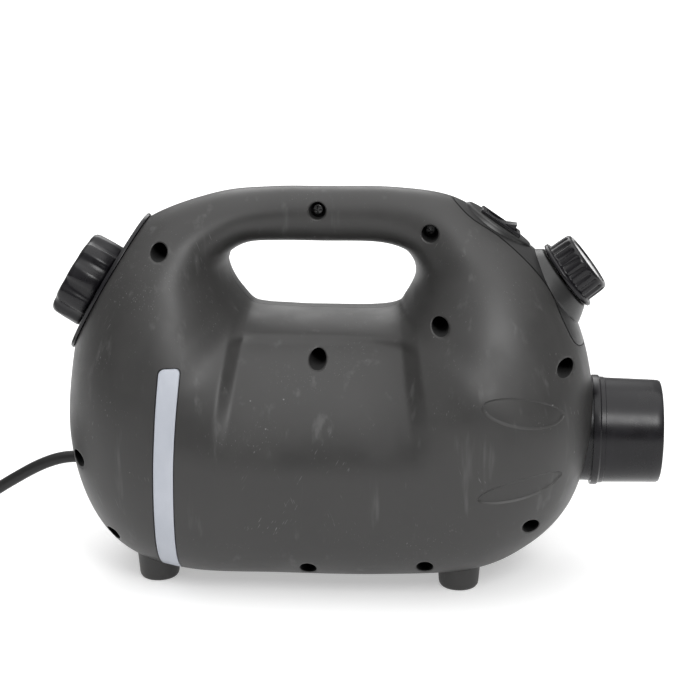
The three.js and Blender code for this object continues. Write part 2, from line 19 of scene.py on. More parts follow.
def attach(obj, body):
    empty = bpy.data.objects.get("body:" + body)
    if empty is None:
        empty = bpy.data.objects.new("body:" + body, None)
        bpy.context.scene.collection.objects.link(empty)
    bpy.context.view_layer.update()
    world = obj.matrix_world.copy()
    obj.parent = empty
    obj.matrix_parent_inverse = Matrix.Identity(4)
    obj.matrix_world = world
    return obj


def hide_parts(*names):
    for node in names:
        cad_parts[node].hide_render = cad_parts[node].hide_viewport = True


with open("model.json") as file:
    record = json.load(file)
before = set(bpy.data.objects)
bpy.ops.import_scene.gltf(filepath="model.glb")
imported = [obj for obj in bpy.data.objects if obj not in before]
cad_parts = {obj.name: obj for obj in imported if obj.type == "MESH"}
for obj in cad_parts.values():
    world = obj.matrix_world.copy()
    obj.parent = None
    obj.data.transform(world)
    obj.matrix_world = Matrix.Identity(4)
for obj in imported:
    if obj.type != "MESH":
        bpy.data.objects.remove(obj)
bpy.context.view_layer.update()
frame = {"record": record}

MM = 0.001
CENTRING = 2.35  # the drawing's zero lies this far behind the frame's, in millimetres


def place(x, y, z):
    """A point of the drawing, in millimetres, as a point of the frame, in metres."""
    return Vector((x + CENTRING, y, z)) * MM


# %% [markdown]
# ## The camera
# A long lens some way off keeps the dryer's proportions. It stands a little above the handle
# and to the right, and looks slightly down, so the deck under the handle can be seen.

# %% Camera
eye = Vector((70.5, -937.4, 415.7)) * MM
look = Vector((-119, 1512, -447)).normalized()
right = Vector((0.9969, 0.0785, 0)).normalized()
camera_data = bpy.data.cameras.new("camera")
camera_data.lens = 81.3
camera = bpy.data.objects.new("camera", camera_data)
bpy.context.collection.objects.link(camera)
turn = Matrix((right, right.cross(look), -look)).transposed()
camera.matrix_world = Matrix.Translation(eye) @ turn.to_4x4()
bpy.context.scene.camera = camera

# %% [markdown]
# ## The mains cord
# A flexible black lead leaves the rear through a bush, drops to the floor and runs out. What is
# not in use is wound into a round coil of two turns side by side, four layers high, as a person
# stores it. One open spline is the simplest true cord: its bevel gives the jacket.

# %% Cord route
CORD_RADIUS = 3.8
COIL_X, COIL_Y = -340, 48
OUTER_TURN, INNER_TURN = 45.8, 38.2
LAYER = 7.6
FLOOR_TURN = 4.0
lead_route = [
    (-177.2, 0, 63.5), (-183, 0, 63.4), (-190, 0, 62.9), (-200, 0, 59.7), (-210, 0, 55),
    (-221, 0, 48.4), (-233, 0, 41), (-246, 0.2, 31.8), (-258, 0.5, 23), (-267, 0.7, 16.8),
    (-276, 1, 11.5), (-284, 1.3, 7.9), (-292, 1.6, 5.4), (-298, 1.8, 4.5), (-304, 2, 4.2),
    (-312.4, 2.2, 4.2), (-326, 2.2, 4.1),
]
tail_route = [
    (-385.8, 62, 26.8), (-385.8, 75.6, 26.8), (-385.3, 85, 25.9), (-383.4, 95, 24.3),
    (-379.6, 104, 22.5), (-374, 111.5, 20.6), (-366.5, 117.5, 18.8), (-358, 121, 17.6),
    (-350, 122, 17.2),
]
STEP = 15  # degrees between the points of a turn
CHANGE = 22  # half the angle over which the cord changes turn
# Each change moves to the next turn: its angle along the winding, then the new turn and layer.
levels = [(OUTER_TURN, 0), (INNER_TURN, 0), (INNER_TURN, 1), (OUTER_TURN, 1),
          (OUTER_TURN, 2), (INNER_TURN, 2), (INNER_TURN, 3), (OUTER_TURN, 3)]
turn_angle = 310
wound = turn_angle * 7 + 80
coil_route = []
for angle in range(0, wound + 1, STEP):
    radius, layer = levels[0]
    for k in range(1, len(levels)):
        share = min(1, max(0, (angle - turn_angle * k + CHANGE) / (2 * CHANGE)))
        share = share * share * (3 - 2 * share)
        radius += share * (levels[k][0] - levels[k - 1][0])
        layer += share * (levels[k][1] - levels[k - 1][1])
    heading = math.radians(-90 - angle)
    coil_route.append((COIL_X + radius * math.cos(heading), COIL_Y + radius * math.sin(heading),
                       FLOOR_TURN + LAYER * layer))
cord_route = [place(*p) for p in lead_route + coil_route + tail_route]

# %% Cord
cord_curve = bpy.data.curves.new("mains_lead", "CURVE")
cord_curve.dimensions = "3D"
cord_curve.bevel_depth = CORD_RADIUS * MM
cord_curve.bevel_resolution = 5
cord_curve.resolution_u = 4
cord_curve.use_fill_caps = True
spline = cord_curve.splines.new("NURBS")
spline.points.add(len(cord_route) - 1)
for point, position in zip(spline.points, cord_route):
    point.co = (*position, 1)
spline.order_u = 4
spline.use_endpoint_u = True
cord = bpy.data.objects.new("mains_lead", cord_curve)
bpy.context.collection.objects.link(cord)
cord_length = sum((b - a).length for a, b in zip(cord_route, cord_route[1:]))
print("cord route", round(cord_length, 3), "m in", len(cord_route), "points")

# %% [markdown]
# ## Small tools for solid shapes
# Each skin starts as rows of points in drawing millimetres. These helpers close them into
# solids, turn profiles round an axis, and cut one solid with another. Blender's manifold
# solver is quick and keeps every cut watertight.

# %% Solids
def solid(name, points, faces):
    """A closed piece from points in drawing millimetres, with its faces turned outward."""
    mesh = bpy.data.meshes.new(name)
    mesh.from_pydata([place(*p) for p in points], [], faces)
    shape = bmesh.new()
    shape.from_mesh(mesh)
    if shape.calc_volume(signed=True) < 0:
        bmesh.ops.reverse_faces(shape, faces=shape.faces)
    shape.to_mesh(mesh)
    shape.free()
    piece = bpy.data.objects.new(name, mesh)
    bpy.context.collection.objects.link(piece)
    return piece


def tube_faces(rows, lanes):
    """Quads of a grid that closes on itself both ways."""
    return [(i * lanes + j, i * lanes + (j + 1) % lanes,
             (i + 1) % rows * lanes + (j + 1) % lanes, (i + 1) % rows * lanes + j)
            for i in range(rows) for j in range(lanes)]


def stacked(name, sections):
    """A closed solid from rings of equal count, each end closed round its middle."""
    count = len(sections[0])
    points = [tuple(p) for ring in sections for p in ring]
    faces = [(k * count + i, k * count + (i + 1) % count,
              (k + 1) * count + (i + 1) % count, (k + 1) * count + i)
             for k in range(len(sections) - 1) for i in range(count)]
    for ring, start, turn in ((sections[0], 0, -1), (sections[-1], len(points) - count, 1)):
        middle = tuple(np.mean(np.array(ring, float), axis=0))
        points.append(middle)
        tip = len(points) - 1
        pairs = [(start + i, start + (i + 1) % count) for i in range(count)]
        faces += [(a, b, tip) if turn > 0 else (b, a, tip) for a, b in pairs]
    return solid(name, points, faces)


def prism(name, outline, half=110):
    """An outline of [x, z] points, extruded right across the dryer."""
    count = len(outline)
    points = [(x, -half, z) for x, z in outline] + [(x, half, z) for x, z in outline]
    faces = [tuple(range(count)), tuple(range(2 * count - 1, count - 1, -1))]
    faces += [(i + count, (i + 1) % count + count, (i + 1) % count, i) for i in range(count)]
    return solid(name, points, faces)


def cut(target, tool, how="DIFFERENCE"):
    """Joins or cuts the target with a tool, which is then thrown away."""
    modifier = target.modifiers.new("cut", "BOOLEAN")
    modifier.operation = how
    modifier.solver = "MANIFOLD"
    modifier.object = tool
    made = bpy.data.meshes.new_from_object(
        target.evaluated_get(bpy.context.evaluated_depsgraph_get()))
    target.modifiers.remove(modifier)
    target.data = made
    bpy.data.objects.remove(tool)
    return target


def smooth_by_angle(piece, degrees=34):
    """Smooth shading, with hard edges kept where faces meet at more than an angle."""
    piece.data.shade_smooth()
    piece.data.set_sharp_from_angle(angle=math.radians(degrees))
    return piece


# %% Turned and aimed shapes
def aimed(x, z, degrees):
    """A frame in the drawing whose Z points along an angle in the XZ plane."""
    angle = math.radians(degrees)
    along = Vector((math.cos(angle), 0, math.sin(angle)))
    side = Vector((0, 1, 0))
    up = along.cross(side) * -1
    turn = Matrix((up, side * -1, along)).transposed()
    return Matrix.Translation((x, 0, z)) @ turn.to_4x4()


def rounded(profile, radius, steps=4):
    """A profile whose inner corners become arcs of a radius."""
    made = [profile[0]]
    for before, corner, after in zip(profile, profile[1:], profile[2:]):
        corner, before, after = (Vector(p) for p in (corner, before, after))
        reach = min(radius, (before - corner).length * 0.45, (after - corner).length * 0.45)
        start = corner + (before - corner).normalized() * reach
        end = corner + (after - corner).normalized() * reach
        for k in range(steps + 1):
            f = k / steps
            made.append(tuple(start * (1 - f) ** 2 + corner * 2 * f * (1 - f) + end * f * f))
    return made + [profile[-1]]


def turned(name, profile, where, segments=96):
    """A solid turned about the local Z from [radius, height] points between two axis points."""
    rings = []
    for radius, height in profile[1:-1]:
        angles = [2 * math.pi * i / segments for i in range(segments)]
        rings.append([where @ Vector((radius * math.cos(a), radius * math.sin(a), height))
                      for a in angles])
    return stacked(name, rings)


def turned_ring(name, profile, where, segments=128):
    """A ring turned about the local Z from a closed loop of [radius, height] points."""
    points = []
    for i in range(segments):
        a = 2 * math.pi * i / segments
        points += [where @ Vector((r * math.cos(a), r * math.sin(a), h)) for r, h in profile]
    return solid(name, points, tube_faces(segments, len(profile)))


def rod(name, radius, low, high, where, segments=48):
    return turned(name, [(0, low), (radius, low), (radius, high), (0, high)], where, segments)


AXIS_Z = 90.8
along_axis = aimed(0, AXIS_Z, 0)

# %% [markdown]
# ## The lofted body
# The whole case is one soft form wrapped round the handle opening: at each station round the
# opening an arch runs from the opening's edge out to the case's outline. A rule like this can be
# drawn far more finely than by hand, so the skin is a dense grid of that rule. The waist under
# the handle is pressed in between two leaning creases, which is what makes the flanks read.

# %% The loft
WALL = 3.2
STATIONS = np.array([  # outline x and z, opening's edge x and z, half width, fullness
    (-20, 241, -22, 208, 17, 2), (22, 241, 10, 208, 17.5, 2), (57, 235.5, 26.5, 204.5, 23, 2),
    (86, 218, 32.5, 199, 33, 2), (110, 200.5, 34.5, 193, 42, 2.1), (126, 176, 34, 187, 53, 2.2),
    (138.5, 146, 31.5, 181, 64, 2.3), (144.5, 112, 28, 175, 74, 2.4), (142.5, 83, 24.5, 170, 82, 2.4),
    (132, 50, 17, 167, 86, 2.4), (110, 25.2, 5, 166, 86, 2.5), (76, 9.8, -8, 166, 86, 2.8),
    (20, 5.6, -21, 166, 86, 3), (-45, 4.6, -34, 166, 86, 3), (-103, 4.6, -46, 166.5, 86, 2.9),
    (-143, 15, -57, 167, 84, 2.6), (-167, 41, -66, 169, 80, 2.4), (-179.5, 81, -73, 176, 75, 2.2),
    (-178.5, 125, -78, 184, 67, 2.1), (-168.5, 174, -80.5, 192, 54, 2),
    (-152, 201.5, -80, 197, 44, 2), (-126, 222, -77, 202, 33, 2), (-86, 236.5, -66, 207, 22.5, 2),
    (-52, 240.5, -46, 208, 18, 2),
])


def through(a, b, c, d, f):
    """A smooth curve from b to c, at a share f of the way, that also heeds a and d."""
    twist = (d - a) / 2 + 1.5 * (b - c)
    return b + f * ((c - a) / 2 + f * (a - 2.5 * b + 2 * c - d / 2 + f * twist))


def around(values, t):
    """The stations' values at places round the handle opening."""
    i = np.floor(t).astype(int)
    return through(*(values[(i + k) % len(values)] for k in (-1, 0, 1, 2)), t - i)


def ramp(value, low, high):
    """A soft slope from 0 to 1."""
    share = np.clip((value - low) / (high - low), 0, 1)
    return share * share * (3 - 2 * share)


def facet(value, low, high):
    """A nearly flat slope from 0 to 1 with crisp ends."""
    return 0.85 * np.clip((value - low) / (high - low), 0, 1) + 0.15 * ramp(value, low, high)


WAIST_TOP = 185
CREASE_TOP = 180
REAR_CREASE, REAR_LEAN, REAR_SLOPE = -64, 0.105, 8  # place at the top, lean and width of the slope
FRONT_CREASE, FRONT_LEAN, FRONT_SLOPE = 24, 0.18, 10.5
WAIST_DEPTH, DECK_RISE = 8, 4.4


def waist(x, z, s):
    """How far the flank is pressed in: between two creases that lean out as they go down."""
    down = np.clip(CREASE_TOP - z, 0, None)
    rear = REAR_CREASE - REAR_LEAN * down
    front = FRONT_CREASE + FRONT_LEAN * down
    between = facet(x, rear - REAR_SLOPE, rear) * (1 - facet(x, front, front + FRONT_SLOPE))
    depth = WAIST_DEPTH * ramp(z, 84, 152) - DECK_RISE * ramp(z, 153, 158.5)
    return np.where(z > WAIST_TOP, 0, between * depth * ramp(s, 0, 0.07))


def loft(rows, columns, inset):
    """One flank's grid of points, set in from the skin by an inset."""
    t = np.arange(rows)[:, None] * len(STATIONS) / rows * np.ones((1, columns + 1))
    s = np.arange(columns + 1)[None, :] / columns * np.ones((rows, 1))
    outer_x, outer_z, inner_x, inner_z, half, full = (around(v, t) for v in STATIONS.T)
    full = np.where(s < 0.5, 2, full)
    span = np.hypot(outer_x - inner_x, outer_z - inner_z)
    u = (inset + (1 - np.cos(np.pi * s)) / 2 * (span - 2 * inset)) / span
    x = inner_x + (outer_x - inner_x) * u
    z = inner_z + (outer_z - inner_z) * u
    rise = np.clip(1 - np.abs(np.cos(np.pi * s)) ** full, 0, None) ** (1 / full)
    y = np.clip((half - inset) * rise - waist(x, z, s), 0, None)
    return np.stack([x, y, z], axis=2)


def whole_body(name, rows, columns, inset):
    """Both flanks as one closed ring."""
    near = loft(rows, columns, inset)
    far = near[:, -2:0:-1].copy()
    near[..., 1] *= -1
    lanes = np.concatenate([near, far], axis=1)
    return solid(name, lanes.reshape(-1, 3), tube_faces(rows, lanes.shape[1]))


ROWS, COLUMNS = 432, 100
flank_grid = loft(ROWS, COLUMNS, 0)
lanes = COLUMNS + 1
FLANK = BVHTree.FromPolygons(
    [Vector(p) for p in flank_grid.reshape(-1, 3)],
    [(i * lanes + j, i * lanes + j + 1, (i + 1) % ROWS * lanes + j + 1, (i + 1) % ROWS * lanes + j)
     for i in range(ROWS) for j in range(COLUMNS)])


def surface(x, z):
    """The flank's half width at a place, in millimetres."""
    hit = FLANK.ray_cast(Vector((x, 300, z)), Vector((0, -1, 0)))[0]
    return hit.y if hit else 0.5


print("flank grid", flank_grid.shape, "half width at the belly", round(surface(0, 70), 1), "mm")

# %% [markdown]
# ## Shapes that follow the flank
# The screw recesses, the pale inlay and its pocket, and the two long oval marks all follow the
# curve of the flank. Each is an outline drawn on the side view, sunk or raised by layers: every
# layer grows the outline and sets it in from the surface, which also gives soft chamfers.

# %% Flank solids
def circle_outline(x, z, radius, count=40):
    angles = [2 * math.pi * i / count for i in range(count)]
    return lambda grow: [(x + (radius + grow) * math.cos(a), z + (radius + grow) * math.sin(a))
                         for a in angles]


def oval_outline(x, z, length, height, degrees, count=80):
    tilt = math.radians(degrees)

    def outline(grow):
        made = []
        for i in range(count):
            a = 2 * math.pi * i / count
            u = (length / 2 + grow) * math.cos(a)
            v = (height / 2 + grow) * math.sin(a)
            made.append((x + u * math.cos(tilt) - v * math.sin(tilt),
                         z + u * math.sin(tilt) + v * math.cos(tilt)))
        return made
    return outline


def flank_solid(name, side, outline, layers, rings=6, floor=None):
    """A solid on one flank: layers of (grow, depth under the surface), from outside inward.
    With a floor it ends flat, that far from the seam."""
    cx, cz = np.mean(np.array(outline(0)), axis=0)

    def section(grow, depth, share, flat=None):
        made = []
        for x, z in outline(grow):
            x, z = cx + (x - cx) * share, cz + (z - cz) * share
            made.append((x, side * (surface(x, z) - depth if flat is None else flat), z))
        return made

    sections = [section(*layers[0], k / rings) for k in range(1, rings + 1)]
    sections += [section(grow, depth, 1) for grow, depth in layers[1:]]
    if floor is None:
        sections += [section(*layers[-1], k / rings) for k in range(rings - 1, 0, -1)]
    else:
        sections += [section(layers[-1][0], 0, k / rings, floor) for k in range(rings, 0, -1)]
    return stacked(name, sections)


# %% [markdown]
# ## The two case halves
# Each half is one moulding: a fine outer skin, an inner wall 3.2 mm behind it, and flat seam
# edges a hair apart. Screw bosses stand inside, and the openings are cut through it as the
# mould's cores would leave them. The near half has the eleven screw recesses.

# %% Case halves
SEAM = 0.34
SCREWS = {  # x, z and how far the recess's floor is from the seam
    "rear_handle": (-116, 207, 10), "handle_middle": (-24, 229, 9),
    "handle_front": (43.5, 218, 10), "waist_front": (51, 169.5, 14),
    "waist_middle": (-21, 146.5, 14), "front_upper": (124, 145.5, 14),
    "front_lower": (106.5, 52, 14), "belly_front": (44.5, 25, 14),
    "belly_middle": (-25.5, 21.5, 14), "rear_end": (-167, 81, 14), "rear_lower": (-147, 34, 14),
}
RECESS, BOSS, PILOT = 5, 6.4, 2.1
FAR_BOSS = 5
BOSS_END = 0.4  # the bosses stop this far short of the seam
OUTLET_FACE = 145
TUBE_HOLE, FLANGE_GROOVE = 32.1, 34.8
CORD_HOLE, CORD_HEIGHT = 5.6, 63.5
rear_place = (-156.2, 173.6, 149.5)  # x, z and angle of the rear facet
panel_curve = [(53, 238.8), (59.5, 233.2), (68.5, 225.8), (86, 214.6), (102.5, 201),
               (114.8, 186.2), (123, 169.4), (131, 155), (141, 146)]


def case_half(side):
    outer = loft(ROWS, COLUMNS, 0)
    inner = loft(ROWS, 14, WALL)[:, ::-1]
    lanes = np.concatenate([outer, inner], axis=1)
    lanes[..., 1] = side * (lanes[..., 1] + SEAM / 2)
    name = "near_case" if side < 0 else "far_case"
    return solid(name, lanes.reshape(-1, 3), tube_faces(ROWS, lanes.shape[1]))


def panel_prism(shift):
    """Everything in front of the panel's edge, moved inward by a shift."""
    before = (2 * panel_curve[0][0] - panel_curve[1][0], 244.2)
    after = (151, 126)
    knots = np.array([before, *panel_curve, after], float)
    inward = np.array([math.cos(math.radians(218)), math.sin(math.radians(218))]) * shift
    edge = []
    for t in np.linspace(0, len(panel_curve) - 1.001, 70):
        i = int(t)
        edge.append(tuple(through(*knots[i:i + 4], t - i) + inward))
    beyond = [(200, 140), (200, 270), (50, 270)]
    return prism("panel_tool", edge + beyond)


def box_tool(low, high):
    corners = [(low[0], low[2]), (high[0], low[2]), (high[0], high[2]), (low[0], high[2])]
    piece = prism("box_tool", corners, (high[1] - low[1]) / 2)
    shift = (high[1] + low[1]) / 2 * MM
    piece.data.transform(Matrix.Translation((0, shift, 0)))
    return piece


def slab_tool(low, high, reach=80):
    """The space beyond the rear facet between two heights above it."""
    where = aimed(*rear_place)
    ring = [(-reach, -reach), (reach, -reach), (reach, reach), (-reach, reach)]
    return stacked("slab_tool", [[where @ Vector((u, v, h)) for u, v in ring] for h in (low, high)])


INTAKE_SLOTS, SLOT_PITCH, SLOT_X = 7, 9, -65
SLOT_WIDTH, SLOT_LENGTH = 4, 40
STRIP_WIDTH, STRIP_TOP, STRIP_BOTTOM, STRIP_CORNER = 12, 145, 12.5, 3.2
STRIP_STEPS = 30  # points along each long side
strip_line = [(12.5, -111), (50, -109.6), (90, -108.6), (120, -107.2), (145, -105.6)]  # z, x


def strip_outline(grow):
    """A long rounded rectangle that leans back as it goes down."""
    half = STRIP_WIDTH / 2 + grow
    inner_half = half - STRIP_CORNER
    high = STRIP_TOP + grow - STRIP_CORNER
    low = STRIP_BOTTOM - grow + STRIP_CORNER

    def corner(u, z, start):
        angles = [math.radians(start + 15 * k) for k in range(7)]
        return [(u + STRIP_CORNER * math.cos(a), z + STRIP_CORNER * math.sin(a)) for a in angles]

    def side(u, start, end):
        return [(u, start + (end - start) * k / STRIP_STEPS) for k in range(1, STRIP_STEPS)]

    made = corner(inner_half, high, 0) + corner(-inner_half, high, 90) + side(-half, high, low)
    made += corner(-inner_half, low, 180) + corner(inner_half, low, 270) + side(half, low, high)
    heights, middles = zip(*strip_line)
    return [(u + float(np.interp(z, heights, middles)), z) for u, z in made]


oval_marks = [oval_outline(99.8, 125.4, 48, 14.8, -12.5), oval_outline(99.2, 80.4, 49, 12, 12.5)]
# Layers of (grow, depth) for the cuts that follow the flank.
MARK_LAYERS = [(1.0, -0.5), (0.55, 0.0), (-0.55, 0.85)]
POCKET_LAYERS = [(1, -1), (0.7, -0.05), (0.35, 0.35), (0.35, 2.2)]
MOUTH_LAYERS = [(1.6, -0.9), (0.75, -0.05), (0.25, 0.35), (0, 0.9)]


def finish_case(side):
    case = case_half(side)
    ledge = flank_solid("ledge", side, lambda grow: strip_outline(grow + 3), [(0, 0.8), (0, 4.6)])
    cut(case, ledge, "UNION")
    for x, z, _ in SCREWS.values():
        round_boss = circle_outline(x, z, BOSS if side < 0 else FAR_BOSS)
        cut(case, flank_solid("boss", side, round_boss, [(0, 0.9)], 4, BOSS_END), "UNION")
    cut(case, flank_solid("pocket", side, strip_outline, POCKET_LAYERS, 24))
    for outline in oval_marks:
        cut(case, flank_solid("mark", side, outline, MARK_LAYERS, 14))
    cut(case, panel_prism(0.45))
    cut(case, slab_tool(0, 60))
    cut(case, box_tool((OUTLET_FACE - 1.2, -110, 20), (170, 110, 165)))
    cut(case, rod("tool", TUBE_HOLE, 110, 180, along_axis, 128))
    cut(case, rod("tool", FLANGE_GROOVE, OUTLET_FACE - 26, OUTLET_FACE - 15, along_axis, 128))
    cut(case, rod("tool", CORD_HOLE, -20, 20, aimed(-176, CORD_HEIGHT, 0)))
    for k in range(INTAKE_SLOTS):
        x = SLOT_X + (k - (INTAKE_SLOTS - 1) / 2) * SLOT_PITCH
        reach = Vector((SLOT_WIDTH / 2, SLOT_LENGTH / 2, 9.5))
        middle = Vector((x, 0, 4.5))
        cut(case, box_tool(middle - reach, middle + reach))
    for x, z, floor in SCREWS.values() if side < 0 else ():
        cut(case, flank_solid("recess", side, circle_outline(x, z, RECESS), MOUTH_LAYERS, 2, floor))
        cut(case, flank_solid("pilot", side, circle_outline(x, z, PILOT, 16), [(0, 8)], 1, -1))
    return smooth_by_angle(case)


near_case = finish_case(-1)
far_case = finish_case(1)
for piece in (near_case, far_case):
    print(piece.name, len(piece.data.polygons), "faces")

# %% [markdown]
# ## Pale inlays
# A pale strip is pressed into a pocket on each flank. It stands a shade proud with soft edges,
# and a thin dark gap shows all round it.

# %% Inlays
inlays = []
for side, name in ((-1, "near_inlay"), (1, "far_inlay")):
    layers = [(-0.7, -0.28), (-0.25, -0.2), (0, 0.05), (0, 1.9)]
    inlays.append(smooth_by_angle(flank_solid(name, side, strip_outline, layers, 24), 40))
print("inlay faces", [len(piece.data.polygons) for piece in inlays])

# %% [markdown]
# ## Front panel
# A darker moulding closes the front of the hump. It is the same body form cut by the same curve
# as the case, so the two meet in a thin even line. A stepped cone carries the heat knob and a
# raised oval carries the switch.

# %% Front panel
KNOB = (127.3, 189.8, 38)
knob_frame = aimed(*KNOB)
SWITCH = (84.8, 220.4, 56)
switch_frame = aimed(*SWITCH)
front_panel = cut(whole_body("front_cover", ROWS, COLUMNS, 0), panel_prism(0), "INTERSECT")
cut(front_panel, whole_body("hollow", 144, 26, WALL))
SHAFT_HOLE = 5
cone_profile = [(0, -16), (27.4, -16), (27.2, -12.5), (25.2, -9.4), (24.4, -8.2), (21.6, -4.2),
                (20.6, -3.5), (0, -3.5)]
cone = turned("cone", rounded(cone_profile, 1.1), knob_frame, 128)
cut(front_panel, cut(cone, panel_prism(0), "INTERSECT"), "UNION")
cut(front_panel, rod("tool", SHAFT_HOLE, -60, 30, knob_frame))


def oval_ring(length, width, height, count=96):
    return [switch_frame @ Vector((length / 2 * math.cos(2 * math.pi * i / count),
                                   width / 2 * math.sin(2 * math.pi * i / count), height))
            for i in range(count)]


def switch_box(name, length, width, low, high, corner=1.2, grow=0.0):
    """A block with rounded corners at the switch, drawn in under its top edge when it grows."""
    rings = []
    for height, inset in ((low, 0), (high - grow, 0), (high - grow * 0.3, grow * 0.3), (high, grow)):
        ring = []
        for cu, cv, start in ((1, 1, 0), (-1, 1, 90), (-1, -1, 180), (1, -1, 270)):
            for k in range(5):
                a = math.radians(start + 22.5 * k)
                ring.append(switch_frame @ Vector((
                    cu * (length / 2 - corner - inset) + corner * math.cos(a),
                    cv * (width / 2 - corner - inset) + corner * math.sin(a), height)))
        rings.append(ring)
    if grow == 0:
        rings = [rings[0], rings[-1]]
    return stacked(name, rings)


BEZEL_LENGTH, BEZEL_WIDTH = 45, 25
bezel_steps = [(3.4, -12), (3.2, -5.4), (2.2, -4.3), (1.2, -3.6), (0.9, -1.3), (0.5, -0.45),
               (-0.3, 0), (-2, 0.12)]  # grow and height
bezel = stacked("switch_surround", [
    oval_ring(BEZEL_LENGTH + 2 * grow, BEZEL_WIDTH + 2 * grow, height) for grow, height in bezel_steps])
for piece in (bezel, front_panel):
    cut(piece, switch_box("tool", 25.6, 13.6, -60, 30))
smooth_by_angle(front_panel)
smooth_by_angle(bezel, 50)
print("front cover", len(front_panel.data.polygons), "faces")

# %% [markdown]
# ## Rocker switch
# A bought-in switch: a thin flange with a well, and a paddle that tips about its middle. The
# paddle's outline is drawn from the side, thickened, and its edges are rounded by a bevel.

# %% Switch
switch_flange = switch_box("switch_flange", 28, 15, 0.3, 2, 1.4, 0.5)
cut(switch_flange, switch_box("tool", 24, 11.8, -26, 0.6), "UNION")
cut(switch_flange, switch_box("tool", 22, 9.8, -21, 5))
smooth_by_angle(switch_flange, 50)

PADDLE_TILT = 11
paddle_frame = aimed(SWITCH[0], SWITCH[1], SWITCH[2] + PADDLE_TILT)
side_view = [(-9.6 + 19.2 * k / 16, 1.5 + 2.1 * (k / 8 - 1) ** 2) for k in range(17)]
side_view += [(9.6, -3), (5, -9), (-5, -9), (-9.6, -3)]
half_paddle = 4.6
paddle = stacked("switch_paddle", [[paddle_frame @ Vector((u, v, h)) for u, h in side_view]
                                   for v in (-half_paddle, half_paddle)])
softening = paddle.modifiers.new("edges", "BEVEL")
softening.width = 0.35 * MM
softening.segments = 3
softening.limit_method = "ANGLE"
softening.angle_limit = math.radians(40)
smooth_by_angle(paddle, 50)

# %% [markdown]
# ## Knobs
# Both knobs are turned shapes whose rim is broken into ribs or lobes. Each is a stack of rings
# whose radius follows a wave round the axis; the wave fades out at the skirt and the face.

# %% Knobs
def knob(name, where, rings, count, flute, sharp, per_rib=14):
    """Rings of (radius, height, how fluted): the wave is flat on the ribs when sharp is high."""
    sections = []
    for radius, height, share in rings:
        ring = []
        for i in range(count * per_rib):
            a = 2 * math.pi * i / (count * per_rib)
            swing = math.tanh(sharp * (math.cos(count * a) + 0.35)) / math.tanh(sharp * 1.35)
            wave = 0.5 + 0.5 * swing
            r = radius - flute * share * (1 - wave)
            ring.append(where @ Vector((r * math.cos(a), r * math.sin(a), height)))
        sections.append(ring)
    return smooth_by_angle(stacked(name, sections), 48)


heat_rings = [(8, -2.6, 0), (21.6, -2.6, 0), (22.3, -2.2, 0), (22.5, -1.2, 0), (22.3, -0.3, 0),
              (21.6, 0.1, 0), (20.3, 0.2, 0.2), (19.9, 0.5, 0.7), (19.8, 1.2, 1), (19.6, 9.6, 1),
              (19.4, 11.2, 0.9), (19.3, 11.9, 0.4), (19.1, 12.4, 0), (18.7, 13.1, 0), (18.1, 13.7, 0),
              (17.2, 14, 0), (15.9, 14, 0), (15.2, 13.7, 0), (14.9, 13.3, 0), (14.8, 11.9, 0), (8, 11.9, 0)]
heat_knob = knob("heat_grip", knob_frame, heat_rings, 20, 1.15, 1.6)
disc = [(0, 12), (14.6, 12), (14.6, 12.6), (14.2, 12.95), (0, 13.1)]
heat_disc = smooth_by_angle(turned("heat_grip_face", disc, knob_frame), 30)

rear_frame = aimed(*rear_place)
PLATE_TOP = 2.7
lift = PLATE_TOP + 1.2
air_rings = [(9, lift, 0), (26.2, lift, 0.5), (27.7, lift + 0.5, 0.9), (28.4, lift + 1.6, 1),
             (28.3, lift + 11, 1), (28, lift + 16.6, 1), (27.4, lift + 18.7, 0.95),
             (26.2, lift + 20, 0.85), (24.6, lift + 20.6, 0.7), (20, lift + 20.6, 0.3),
             (18.6, lift + 20.2, 0), (9, lift + 20.1, 0)]
air_knob = knob("airflow_grip", rear_frame, air_rings, 10, 2.4, 1.7, 28)

# %% [markdown]
# ## Rear plate
# The glossy plate behind the airflow knob has the outline of the case where the rear facet cuts
# it. The body is sliced there, and the loop is drawn in by steps to make a rounded edge.

# %% Rear plate
slice_mesh = bmesh.new()
sliced = whole_body("slice", 216, 60, -0.6)
slice_mesh.from_mesh(sliced.data)
bpy.data.objects.remove(sliced)
normal = (rear_frame.to_3x3() @ Vector((0, 0, 1))).normalized()
found = bmesh.ops.bisect_plane(
    slice_mesh, geom=slice_mesh.verts[:] + slice_mesh.edges[:] + slice_mesh.faces[:],
    plane_co=place(rear_place[0], 0, rear_place[1]), plane_no=normal)
to_plate = rear_frame.inverted()
rim = []
for item in found["geom_cut"]:
    if isinstance(item, bmesh.types.BMVert):
        point = item.co / MM - Vector((CENTRING, 0, 0))
        rim.append((to_plate @ point).to_2d())
slice_mesh.free()
middle = sum(rim, Vector((0, 0))) / len(rim)
rim.sort(key=lambda p: math.atan2(p.y - middle.y, p.x - middle.x))
angles = [math.atan2(p.y - middle.y, p.x - middle.x) for p in rim]
reach = [(p - middle).length for p in rim]
even = [-math.pi + 2 * math.pi * i / 144 for i in range(144)]
reach = np.interp(even, angles, reach, period=2 * math.pi)


def plate_ring(inset, height):
    """The plate's outline drawn in by an inset, at a height above the rear facet."""
    return [rear_frame @ Vector((middle.x + (r - inset) * math.cos(a),
                                 middle.y + (r - inset) * math.sin(a), height))
            for a, r in zip(even, reach)]


